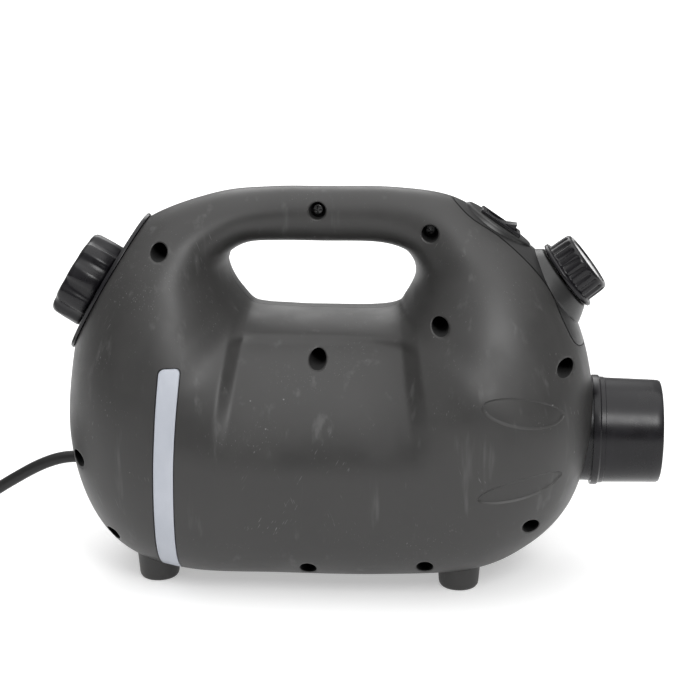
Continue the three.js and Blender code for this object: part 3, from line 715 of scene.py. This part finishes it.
plate_steps = [(0.5, 0.3), (0, 0.6), (0, 1.6), (0.35, 2.3), (1.1, 2.62), (2, PLATE_TOP),
               (4, PLATE_TOP), (4.5, PLATE_TOP - 0.4)]
rear_plate = stacked("rear_cover", [plate_ring(*step) for step in plate_steps])
cut(rear_plate, rod("tool", SHAFT_HOLE, -20, 20, rear_frame))
smooth_by_angle(rear_plate, 30)
print("rear plate spans", round(min(reach) * 2, 1), "to", round(max(reach) * 2, 1), "mm")

# %% [markdown]
# ## Outlet tube, feet and cord bush
# The tube is turned: a collar that sits against the case, a fine step, a long plain barrel and a
# rounded lip. Its inner end is trapped in the case by a flange. The feet are short soft-edged
# studs that grow out of the belly, and the bush is a grooved rubber ring.

# %% Turned pieces
collar = OUTLET_FACE
tube_profile = [
    (27.8, collar - 18), (33.9, collar - 18), (33.9, collar - 15.5), (31.6, collar - 15.5),
    (31.6, collar - 1), (33.9, collar - 1), (34.1, collar - 0.2), (34.1, collar + 2.8),
    (33.4, collar + 3.6), (33, collar + 3.7), (32.9, collar + 6.2), (32.5, collar + 6.5),
    (32.4, collar + 8), (31.8, 180),
    (31.7, 184.4), (31.1, 185.6), (30.1, 186), (28.4, 185.7), (28, 185), (27.8, 183)]
outlet = smooth_by_angle(turned_ring("outlet_barrel", tube_profile, along_axis), 28)

FOOT_SIDE, FOOT_TOP = 36, 13.6
feet = []
for x in (-122.5, 64.6):
    for side in (-1, 1):
        where = Matrix.Translation((x, side * FOOT_SIDE, 0))
        profile = [(0, 0), (10.2, 0), (11.3, 0.5), (12, 1.6), (12.3, 3), (FOOT_TOP, 20), (0, 20)]
        foot = turned("stud", profile, where, 64)
        cut(foot, whole_body("tool", 216, 60, -0.25))
        foot.name = ("rear" if x < 0 else "front") + ("_near" if side < 0 else "_far") + "_stud"
        feet.append(smooth_by_angle(foot, 50))

bush_frame = aimed(-166.3, CORD_HEIGHT, 180)
bush_profile = [(0, 0), (6.4, 0), (6.4, 2.4), (5.2, 2.4), (5.2, 9.2), (6.1, 9.6), (6.3, 10.4),
                (5.6, 10.9), (0, 10.9)]
bush = smooth_by_angle(turned("lead_bush", rounded(bush_profile, 0.3, 2), bush_frame, 48), 40)

# %% [markdown]
# ## Screws
# Eleven pan-head screws with cross recesses sit at the bottom of their wells. One head is drawn
# as a dome whose middle is sunk where the cross is, and Geometry Nodes put a copy at each well,
# each turned by its own amount as hand-driven screws are.

# %% Screw head
CROSS_HALF, CROSS_REACH, CROSS_DEPTH = 0.42, 2.35, 1.4
DOME_TOP = 2.6


def screw_head():
    """A screw along Z: its shank, the head's rim, and a dome with a cross recess."""
    angles = np.linspace(0, 2 * math.pi, 48, endpoint=False)
    rings = []
    for radius, height in ((1.8, -14), (1.8, 0), (3.9, 0), (3.9, 0.9), (3.5, 1.7), (2.9, 2.2)):
        rings.append([(radius * math.cos(a), radius * math.sin(a), height) for a in angles])
    for radius in (2.5, 2.2, 1.7, 1.2, 0.7, 0.3):
        ring = []
        for a in angles:
            x, y = radius * math.cos(a), radius * math.sin(a)
            crossed = min(abs(x), abs(y)) < CROSS_HALF and max(abs(x), abs(y)) < CROSS_REACH
            ring.append((x, y, DOME_TOP - 0.05 * radius ** 2 - (CROSS_DEPTH if crossed else 0)))
        rings.append(ring)
    turn = Matrix.Rotation(math.radians(90), 4, "X")
    piece = stacked("screw_head", [[turn @ Vector(p) for p in ring] for ring in rings])
    piece.data.transform(Matrix.Translation((-CENTRING * MM, 0, 0)))
    return smooth_by_angle(piece, 35)


def plain_mesh(piece, name):
    """The evaluated piece as a plain mesh object in its place."""
    made = bpy.data.meshes.new_from_object(
        piece.evaluated_get(bpy.context.evaluated_depsgraph_get()))
    plain = bpy.data.objects.new(name, made)
    bpy.context.collection.objects.link(plain)
    bpy.data.objects.remove(piece)
    return plain


def new_tree(name, sockets):
    tree = bpy.data.node_groups.new(name, "GeometryNodeTree")
    tree.interface.new_socket("Geometry", in_out="INPUT", socket_type="NodeSocketGeometry")
    for label, kind, value in sockets:
        socket = tree.interface.new_socket(label, in_out="INPUT", socket_type=kind)
        if value is not None:
            socket.default_value = value
    tree.interface.new_socket("Geometry", in_out="OUTPUT", socket_type="NodeSocketGeometry")
    return tree, tree.nodes.new("NodeGroupInput"), tree.nodes.new("NodeGroupOutput")


def run_tree(piece, tree, values):
    """Sets a tree's inputs by identifier on a new modifier."""
    modifier = piece.modifiers.new("nodes", "NODES")
    modifier.node_group = tree
    for item in tree.interface.items_tree:
        if item.in_out == "INPUT" and item.name in values:
            modifier[item.identifier] = values[item.name]


# %% Screw set
def screw_tree():
    """A copy of the head at every point, each turned by its own amount."""
    tree, start, end = new_tree("driven_screws", [
        ("Head", "NodeSocketObject", None), ("Seed", "NodeSocketInt", 7),
        ("Finish", "NodeSocketMaterial", None)])
    points = tree.nodes.new("GeometryNodeMeshToPoints")
    info = tree.nodes.new("GeometryNodeObjectInfo")
    turn = tree.nodes.new("FunctionNodeRandomValue")
    turn.data_type = "FLOAT_VECTOR"
    turn.inputs["Min"].default_value = (0, 0, 0)
    turn.inputs["Max"].default_value = (0, math.pi, 0)
    copies = tree.nodes.new("GeometryNodeInstanceOnPoints")
    real = tree.nodes.new("GeometryNodeRealizeInstances")
    paint = tree.nodes.new("GeometryNodeSetMaterial")
    link = tree.links.new
    link(start.outputs["Geometry"], points.inputs["Mesh"])
    link(start.outputs["Head"], info.inputs["Object"])
    link(start.outputs["Seed"], turn.inputs["Seed"])
    link(points.outputs["Points"], copies.inputs["Points"])
    link(info.outputs["Geometry"], copies.inputs["Instance"])
    link(turn.outputs["Value"], copies.inputs["Rotation"])
    link(copies.outputs["Instances"], real.inputs["Geometry"])
    link(real.outputs["Geometry"], paint.inputs["Geometry"])
    link(start.outputs["Finish"], paint.inputs["Material"])
    link(paint.outputs["Geometry"], end.inputs["Geometry"])
    return tree


HEAD_SEAT = 0.1  # the head's underside stands this far clear of the recess floor
screw_material = bpy.data.materials.new("blackened_steel")
head = screw_head()
wells = bpy.data.meshes.new("wells")
wells.from_pydata([place(x, -floor - HEAD_SEAT, z) for x, z, floor in SCREWS.values()], [], [])
wells = bpy.data.objects.new("wells", wells)
bpy.context.collection.objects.link(wells)
run_tree(wells, screw_tree(), {"Head": head, "Seed": 7, "Finish": screw_material})
screws = plain_mesh(wells, "case_screws")
bpy.data.objects.remove(head)
print("screws", len(screws.data.polygons), "faces")

# %% [markdown]
# ## Plug
# The moulded plug lies beside the coil. It is turned like the knobs, with shallow finger flutes
# and a slim neck where the lead enters.

# %% Plug
plug_along = Vector((13, 2, 0)).normalized()
plug_base = Vector((-350, 122, 17.1)) + plug_along * 0.8
plug_frame = Matrix.Translation(plug_base) @ plug_along.to_track_quat("Z", "Y").to_matrix().to_4x4()
plug_rings = [(4.6, 0, 0), (5.4, 0.3, 0), (6, 2, 0), (6.8, 7, 0.2), (9.4, 11.4, 0.6),
              (14.2, 14.8, 1), (16.4, 17.4, 1), (17, 21, 1), (17, 27, 0.8), (16.6, 31, 0.3),
              (15.8, 33.2, 0), (14.6, 34, 0), (6, 34, 0)]
plug = knob("plug_grip", plug_frame, plug_rings, 12, 0.9, 0.9, 10)
print("plug", len(plug.data.polygons), "faces")

# %% [markdown]
# ## Shared effects
# Every moulding has a fine grain, uneven tone and light marks from handling. These effects are
# node groups, so that each finish only sets its own strengths. They put out masks and heights,
# and the Principled shader stays in the material.

# %% Effect groups
def effect_group(name, inputs, outputs):
    tree = bpy.data.node_groups.new(name, "ShaderNodeTree")
    tree.interface.new_socket("Place", in_out="INPUT", socket_type="NodeSocketVector")
    for label, value in inputs:
        socket = tree.interface.new_socket(label, in_out="INPUT", socket_type="NodeSocketFloat")
        socket.default_value = value
    for label in outputs:
        tree.interface.new_socket(label, in_out="OUTPUT", socket_type="NodeSocketFloat")
    return tree, tree.nodes.new("NodeGroupInput"), tree.nodes.new("NodeGroupOutput")


def noise(tree, place_socket, scale, detail, roughness=0.5):
    node = tree.nodes.new("ShaderNodeTexNoise")
    if not isinstance(scale, (int, float)):
        tree.links.new(scale, node.inputs["Scale"])
    else:
        node.inputs["Scale"].default_value = scale
    node.inputs["Detail"].default_value = detail
    node.inputs["Roughness"].default_value = roughness
    tree.links.new(place_socket, node.inputs["Vector"])
    return node.outputs["Fac"]


def maths(tree, operation, first, second=0.0):
    node = tree.nodes.new("ShaderNodeMath")
    node.operation = operation
    for socket, value in zip(node.inputs, (first, second)):
        if isinstance(value, (int, float)):
            socket.default_value = value
        else:
            tree.links.new(value, socket)
    return node.outputs[0]


def limits(tree, value, low, high, to_low=0.0, to_high=1.0):
    node = tree.nodes.new("ShaderNodeMapRange")
    node.interpolation_type = "SMOOTHSTEP"
    numbers = {"From Min": low, "From Max": high, "To Min": to_low, "To Max": to_high}
    for label, number in numbers.items():
        node.inputs[label].default_value = number
    tree.links.new(value, node.inputs["Value"])
    return node.outputs["Result"]


def stretched(tree, place_socket, scale, rotation=(0, 0, 0)):
    node = tree.nodes.new("ShaderNodeMapping")
    node.inputs["Scale"].default_value = scale
    node.inputs["Rotation"].default_value = rotation
    tree.links.new(place_socket, node.inputs["Vector"])
    return node.outputs["Vector"]


def moulded_grain():
    """A fine spark-eroded grain, and the uneven tone of a large moulding."""
    tree, start, end = effect_group("moulded_grain", [("Fineness", 1400)], ["Height", "Tone"])
    fine = noise(tree, start.outputs["Place"], start.outputs["Fineness"], 3, 0.6)
    broad = noise(tree, start.outputs["Place"], 22, 6, 0.62)
    tree.links.new(fine, end.inputs["Height"])
    tree.links.new(limits(tree, broad, 0.3, 0.7), end.inputs["Tone"])
    return tree


def handling_marks():
    """Fine straight scratches in a few patches, faint upright rubs, and small bright specks."""
    tree, start, end = effect_group("handling_marks", [("Amount", 1)], ["Scratches", "Specks"])
    spot = start.outputs["Place"]
    lines = []
    # Each kind of scratch: its scale along the axes, how it leans, and the scale of its patches.
    directions = (((1700, 1700, 45), 0.35, 17), ((1500, 1500, 55), -0.5, 21),
                  ((1900, 1900, 30), 0.04, 12))
    for scale, turn, patch in directions:
        leaning = stretched(tree, spot, (1, 1, 1), (0, turn, 0))
        streaks = limits(tree, noise(tree, stretched(tree, leaning, scale), 1, 0), 0.76, 0.82)
        patches = noise(tree, stretched(tree, leaning, (1, 1, 1.4)), patch, 4, 0.7)
        where = limits(tree, patches, 0.54, 0.7)
        lines.append(maths(tree, "MULTIPLY", streaks, where))
    rubs = noise(tree, stretched(tree, spot, (110, 110, 12)), 1, 3, 0.6)
    lines.append(limits(tree, rubs, 0.58, 0.8, 0, 0.3))
    both = lines[0]
    for line in lines[1:]:
        both = maths(tree, "MAXIMUM", both, line)
    tree.links.new(maths(tree, "MULTIPLY", both, start.outputs["Amount"]), end.inputs["Scratches"])
    dots = tree.nodes.new("ShaderNodeTexVoronoi")
    dots.inputs["Scale"].default_value = 90
    tree.links.new(spot, dots.inputs["Vector"])
    near = limits(tree, dots.outputs["Distance"], 0.025, 0.06, 1, 0)
    few = limits(tree, dots.outputs["Color"], 0.8, 0.82)
    speck = maths(tree, "MULTIPLY", maths(tree, "MULTIPLY", near, few), start.outputs["Amount"])
    tree.links.new(speck, end.inputs["Specks"])
    return tree


def drawn_metal():
    """Fine lines along one direction, as on drawn, turned or brushed metal."""
    tree, start, end = effect_group("drawn_metal", [("Fineness", 900)], ["Height", "Tone"])
    lined = stretched(tree, start.outputs["Place"], (0.04, 1, 1))
    tree.links.new(noise(tree, lined, start.outputs["Fineness"], 4, 0.65), end.inputs["Height"])
    tree.links.new(limits(tree, noise(tree, start.outputs["Place"], 60, 5), 0.3, 0.7), end.inputs["Tone"])
    return tree


def painted_well_shade_mask():
    """1 inside the screw wells of the near half, found from the wells' places, and 0 elsewhere: it marks
    where painted shade darkens the wells.
    """
    tree, start, end = effect_group("painted_well_shade_mask", [("Radius", (RECESS + 0.06) * MM)], ["Inside"])
    level = tree.nodes.new("ShaderNodeVectorMath")
    level.operation = "MULTIPLY"
    level.inputs[1].default_value = (1, 0, 1)
    tree.links.new(start.outputs["Place"], level.inputs[0])
    nearest = 1.0
    for x, z, floor in SCREWS.values():
        apart = tree.nodes.new("ShaderNodeVectorMath")
        apart.operation = "DISTANCE"
        apart.inputs[1].default_value = place(x, 0, z)
        tree.links.new(level.outputs["Vector"], apart.inputs[0])
        nearest = maths(tree, "MINIMUM", apart.outputs["Value"], nearest)
    split = tree.nodes.new("ShaderNodeSeparateXYZ")
    tree.links.new(start.outputs["Place"], split.inputs["Vector"])
    near_side = maths(tree, "LESS_THAN", split.outputs["Y"], 0.0)
    inside = maths(tree, "LESS_THAN", nearest, start.outputs["Radius"])
    tree.links.new(maths(tree, "MULTIPLY", near_side, inside), end.inputs["Inside"])
    return tree


GRAIN, MARKS, DRAWN, PAINTED_WELL_SHADE_GROUP = moulded_grain(), handling_marks(), drawn_metal(), painted_well_shade_mask()

# %% [markdown]
# ## Finishes
# Each finish names its dark and light tone, its gloss and how deep its grain is. Tone and marks drive the
# colour, marks and tone drive the roughness, and the grain drives a bump. On the case, painted shade turns
# the screw wells near black.

# %% Finish maker
def grey(value, warm=0.0):
    return (value * (1 + warm), value, value * (1 - warm))


def effect_node(tree, effect, spot):
    node = tree.nodes.new("ShaderNodeGroup")
    node.node_tree = effect
    tree.links.new(spot, node.inputs["Place"])
    return node


def blend(tree, share, first, second):
    """From the first tone to the second, where a tone is three numbers or a socket."""
    node = tree.nodes.new("ShaderNodeMix")
    node.data_type = "RGBA"
    tree.links.new(share, node.inputs["Factor"])
    for label, tone in (("A", first), ("B", second)):
        if isinstance(tone, tuple):
            node.inputs[label].default_value = (*tone, 1)
        else:
            tree.links.new(tone, node.inputs[label])
    return node.outputs["Result"]


PAINTED_WELL_SHADE = grey(0.002)  # painted shade: the screw wells are coloured near black


def finish(name, dark, light, gloss, fineness=1400, depth=0.00002, marks=0.0, mark_tone=grey(0.3),
           metal=0.0, effect=None, specular=0.5, wells=False):
    """gloss is the lowest and highest roughness, depth the grain's height in metres, and wells paints shade
    into the near half's screw wells.
    """
    material = bpy.data.materials.get(name) or bpy.data.materials.new(name)
    material.use_nodes = True
    tree = material.node_tree
    shader = tree.nodes["Principled BSDF"]
    shader.inputs["Metallic"].default_value = metal
    shader.inputs["Specular IOR Level"].default_value = specular
    spot = tree.nodes.new("ShaderNodeTexCoord").outputs["Object"]
    grain = effect_node(tree, effect or GRAIN, spot)
    grain.inputs["Fineness"].default_value = fineness
    tinted = blend(tree, grain.outputs["Tone"], dark, light)
    rough = limits(tree, grain.outputs["Tone"], 0, 1, *gloss)
    if marks:
        worn = effect_node(tree, MARKS, spot)
        worn.inputs["Amount"].default_value = marks
        both = maths(tree, "MAXIMUM", worn.outputs["Scratches"], worn.outputs["Specks"])
        tinted = blend(tree, both, tinted, mark_tone)
        rough = maths(tree, "ADD", rough, maths(tree, "MULTIPLY", both, 0.15))
    # Painted shade: inside the near half's screw wells the colour turns near black and the roughness rises.
    if wells:
        inside = effect_node(tree, PAINTED_WELL_SHADE_GROUP, spot).outputs["Inside"]
        tinted = blend(tree, inside, tinted, PAINTED_WELL_SHADE)
        rough = maths(tree, "ADD", rough, maths(tree, "MULTIPLY", inside, 0.4))
    tree.links.new(tinted, shader.inputs["Base Color"])
    tree.links.new(rough, shader.inputs["Roughness"])
    bump = tree.nodes.new("ShaderNodeBump")
    bump.inputs["Strength"].default_value = 1
    bump.inputs["Distance"].default_value = depth
    tree.links.new(grain.outputs["Height"], bump.inputs["Height"])
    tree.links.new(bump.outputs["Normal"], shader.inputs["Normal"])
    return material


# %% Finishes of every slot
# The case finish paints shade into the screw wells (wells=True).
case_plastic = dict(fineness=1500, depth=0.00003, marks=0.6, mark_tone=grey(0.2), wells=True)
finishes = {
    "shell_plastic": finish("charcoal_case", grey(0.0185, 0.03), grey(0.025, 0.03), (0.42, 0.52),
                            **case_plastic),
    "panel_plastic": finish("panel_plastic", grey(0.009), grey(0.014), (0.34, 0.42), 1500, 0.00003,
                            0.2, grey(0.14)),
    "black_plastic": finish("gloss_black", (0.004, 0.0036, 0.0048), (0.0065, 0.006, 0.0078),
                            (0.24, 0.34), 900, 0.000006, 0.25, grey(0.06), specular=0.3),
    "grey_inlay": finish("pale_inlay", (0.37, 0.39, 0.435), (0.42, 0.44, 0.485), (0.4, 0.5),
                         1200, 0.00002, 0.25, grey(0.7)),
    "screw_steel": finish("blackened_steel", grey(0.05), grey(0.09), (0.3, 0.45), 2600, 0.00001,
                          metal=1, effect=DRAWN),
    "plated_steel": finish("plated_steel", grey(0.4), grey(0.52), (0.25, 0.4), 1800, 0.00001,
                           0.3, grey(0.2), 1, DRAWN),
    "silver_cap": finish("silver_disc", grey(0.8), grey(0.9), (0.2, 0.3), 3000, 0.000006, metal=0.4,
                         effect=DRAWN),
    "brass": finish("turned_brass", (0.5, 0.36, 0.13), (0.62, 0.46, 0.19), (0.25, 0.4), 2200,
                    0.00001, metal=1, effect=DRAWN),
    "copper_winding": finish("lacquered_copper", (0.36, 0.13, 0.05), (0.52, 0.2, 0.08), (0.3, 0.45),
                             2400, 0.00008, metal=1, effect=DRAWN),
    "carbon": finish("pressed_carbon", grey(0.02), grey(0.03), (0.6, 0.75), 2600, 0.00003),
    "rubber": finish("black_rubber", grey(0.022), grey(0.032), (0.6, 0.75), 1300, 0.00003,
                     0.3, grey(0.1)),
    "cord_jacket": finish("lead_jacket", grey(0.006), grey(0.01), (0.4, 0.5), 1100, 0.00002,
                          0.2, grey(0.06), specular=0.35),
    "mica": finish("mica_sheet", (0.5, 0.42, 0.26), (0.66, 0.57, 0.38), (0.35, 0.55), 500, 0.00004),
    "board": finish("circuit_board", (0.02, 0.09, 0.035), (0.035, 0.13, 0.05), (0.3, 0.45), 800),
    "terminal_plastic": finish("terminal_block", grey(0.6, 0.02), grey(0.7, 0.02), (0.4, 0.5), 1200),
    "foam": finish("filter_foam", grey(0.02), grey(0.045), (0.85, 0.95), 700, 0.0005),
}
stud_finish = finish("stud_plastic", grey(0.021, 0.03), grey(0.027, 0.03), (0.45, 0.52), 1500,
                     0.00003, 0.25, grey(0.2))
slots = {row["node"]: row["material_slot"] for row in frame["record"]["subparts"]}


def dress(piece, material):
    piece.data.materials.clear()
    piece.data.materials.append(material)


for node, slot_name in slots.items():
    dress(bpy.data.objects[node], finishes[slot_name])
print("dressed", len(slots), "packed nodes in", len(finishes), "finishes")

# %% [markdown]
# ## What each piece is and rides on
# Each fine piece takes a finish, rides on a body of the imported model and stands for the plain
# solid of the same part, which stays behind it for collision.

# %% Pieces on their bodies
CASE_SCREWS = [name + "_screw" for name in SCREWS]
pieces = [
    (near_case, "dryer", "shell_plastic", ["right_shell"]),
    (far_case, "dryer", "shell_plastic", ["left_shell"]),
    (inlays[0], "dryer", "grey_inlay", ["right_strip"]),
    (inlays[1], "dryer", "grey_inlay", ["left_strip"]),
    (front_panel, "dryer", "panel_plastic", ["front_panel"]),
    (bezel, "dryer", "panel_plastic", ["switch_bezel"]),
    (switch_flange, "dryer", "black_plastic", ["rocker_frame"]),
    (paddle, "rocker", "black_plastic", ["rocker_paddle"]),
    (heat_knob, "heat_dial", "black_plastic", ["heat_knob"]),
    (heat_disc, "heat_dial", "silver_cap", ["heat_knob_cap"]),
    (air_knob, "airflow_dial", "black_plastic", ["airflow_knob"]),
    (rear_plate, "dryer", "black_plastic", ["rear_plate"]),
    (outlet, "dryer", "black_plastic", ["outlet_tube"]),
    (bush, "dryer", "rubber", ["cord_bush"]),
    (screws, "dryer", "screw_steel", CASE_SCREWS),
    (cord, "dryer", "cord_jacket", ["mains_cord", "cord_coil", "cord_tail"]),
    (plug, "dryer", "black_plastic", ["plug_body"]),
]
foot_nodes = ["rear_right_foot", "rear_left_foot", "front_right_foot", "front_left_foot"]
pieces += [(foot, "dryer", "rubber", [node]) for foot, node in zip(feet, foot_nodes)]
for piece, body, slot_name, nodes in pieces:
    dress(piece, stud_finish if piece in feet else finishes[slot_name])
    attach(piece, body)
    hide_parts(*nodes)
print(len(pieces), "fine pieces")

# %% [markdown]
# ## Studio
# The dryer stands on a light table in a tent that is dim round the sides and bright overhead, so
# its dark flanks keep their shape. A soft key light on the right draws the bright bands, a weak
# fill and a broad back light lift the edges, and a wide overhead sun lights the upper curves.

# %% Floor and light
FLOOR_REACH = 6
floor_corners = [(FLOOR_REACH * u, FLOOR_REACH * v, 0) for u, v in ((-1, -1), (1, -1), (1, 1), (-1, 1))]
floor_mesh = bpy.data.meshes.new("floor")
floor_mesh.from_pydata(floor_corners, [], [(0, 1, 2, 3)])
floor = bpy.data.objects.new("floor", floor_mesh)
bpy.context.collection.objects.link(floor)
floor_paint = bpy.data.materials.new("pale_floor")
floor_paint.use_nodes = True
floor_shader = floor_paint.node_tree.nodes["Principled BSDF"]
floor_shader.inputs["Base Color"].default_value = (*grey(0.72), 1)
floor_shader.inputs["Roughness"].default_value = 0.8
floor_shader.inputs["Emission Color"].default_value = (1, 1, 1, 1)
floor_shader.inputs["Emission Strength"].default_value = 0.42  # a light table: it keeps shadows faint
floor.data.materials.append(floor_paint)

SKY = (0.22, 0.95)  # the tent's strength at the horizon and overhead


def sky_tent():
    """White to the eye; as a light it is dim round the sides and bright overhead."""
    world = bpy.data.worlds.new("tent")
    world.use_nodes = True
    tree = world.node_tree
    seen = tree.nodes["Background"]
    seen.inputs["Color"].default_value = (1, 1, 1, 1)
    lit = tree.nodes.new("ShaderNodeBackground")
    split = tree.nodes.new("ShaderNodeSeparateXYZ")
    tree.links.new(tree.nodes.new("ShaderNodeTexCoord").outputs["Generated"], split.inputs["Vector"])
    tree.links.new(limits(tree, split.outputs["Z"], 0.0, 0.9, *SKY), lit.inputs["Strength"])
    choice = tree.nodes.new("ShaderNodeMixShader")
    tree.links.new(tree.nodes.new("ShaderNodeLightPath").outputs["Is Camera Ray"], choice.inputs["Fac"])
    tree.links.new(lit.outputs["Background"], choice.inputs[1])
    tree.links.new(seen.outputs["Background"], choice.inputs[2])
    tree.links.new(choice.outputs["Shader"], tree.nodes["World Output"].inputs["Surface"])
    return world


bpy.context.scene.world = sky_tent()


def lamp(name, kind, position, energy):
    """A light that looks at the middle of the dryer."""
    data = bpy.data.lights.new(name, kind)
    data.energy = energy
    light = bpy.data.objects.new(name, data)
    bpy.context.collection.objects.link(light)
    aim_at = Vector((0, 0, 0.12)) - Vector(position)
    facing = aim_at.to_track_quat("-Z", "Y").to_matrix().to_4x4()
    light.matrix_world = Matrix.Translation(position) @ facing
    return data


lamp("key", "AREA", (0.6, -1.3, 1.3), 13).size = 0.6
lamp("fill", "AREA", (-0.9, -1.6, 0.9), 1).size = 0.9
lamp("back", "AREA", (-0.2, 1.3, 1.1), 8).size = 1.0
lamp("overhead", "SUN", (0.1, -0.15, 2), 1.5).angle = math.radians(70)
bpy.context.scene.view_settings.view_transform = "Standard"
